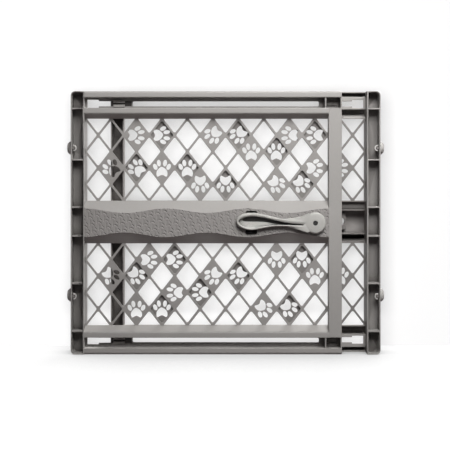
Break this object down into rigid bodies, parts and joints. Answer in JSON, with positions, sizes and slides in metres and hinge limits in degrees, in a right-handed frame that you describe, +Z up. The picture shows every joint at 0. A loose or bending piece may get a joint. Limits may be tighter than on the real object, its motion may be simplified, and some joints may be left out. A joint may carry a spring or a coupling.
{
  "type": "pet gate",
  "caption": "Sliding two-panel plastic pet gate with paw cut-out lattices, rubber end bumpers and a loop lever that locks its width.",
  "frame": {"origin": "on the floor, under the middle of the gate's bounding box at rest", "axes": "+X across the doorway towards the rear panel's end, +Y from the lever side to the back, +Z up"},
  "size_m": [0.7088, 0.0628, 0.5842],
  "materials": {
    "moulded_grey": "satin, fine moulded grain",
    "lever_grey": "satin",
    "bumper_rubber": "matt",
    "bearing_plastic": "matt",
    "screw_steel": "dark zinc plate"
  },
  "bodies": {
    "front_panel": {"front_end_column": "moulded_grey", "front_top_rail": "moulded_grey", "front_bottom_rail": "moulded_grey", "front_middle_rail": "moulded_grey", "grip_band": "moulded_grey", "front_inner_post": "moulded_grey", "front_lattice_upper": "moulded_grey", "front_lattice_lower": "moulded_grey", "front_glide_top": "moulded_grey", "front_glide_bottom": "moulded_grey", "bumper_left_upper": "bumper_rubber", "bumper_left_lower": "bumper_rubber"},
    "rear_panel": {"rear_end_column": "moulded_grey", "rear_top_rail": "moulded_grey", "rear_bottom_rail": "moulded_grey", "rear_middle_rail": "moulded_grey", "rack_strip": "moulded_grey", "rear_inner_post": "moulded_grey", "rear_lattice_upper": "moulded_grey", "rear_lattice_lower": "moulded_grey", "rear_glide_top": "moulded_grey", "rear_glide_bottom": "moulded_grey", "bumper_right_upper": "bumper_rubber", "bumper_right_lower": "bumper_rubber"},
    "lever": {"lever": "lever_grey", "lever_washer": "bearing_plastic", "lever_cam": "bearing_plastic", "lever_screw": "screw_steel"}
  },
  "joints": [
    {"name": "panel_slide", "type": "slide", "parent": "front_panel", "child": "rear_panel", "axis": [1, 0, 0], "range_m": [-0.0485, 0.3071]},
    {"name": "lever_swing", "type": "hinge", "parent": "front_panel", "child": "lever", "pos_m": [0.19825, -0.0194, 0.2921], "axis": [0, 1, 0], "range_deg": [0, 90]}
  ]
}
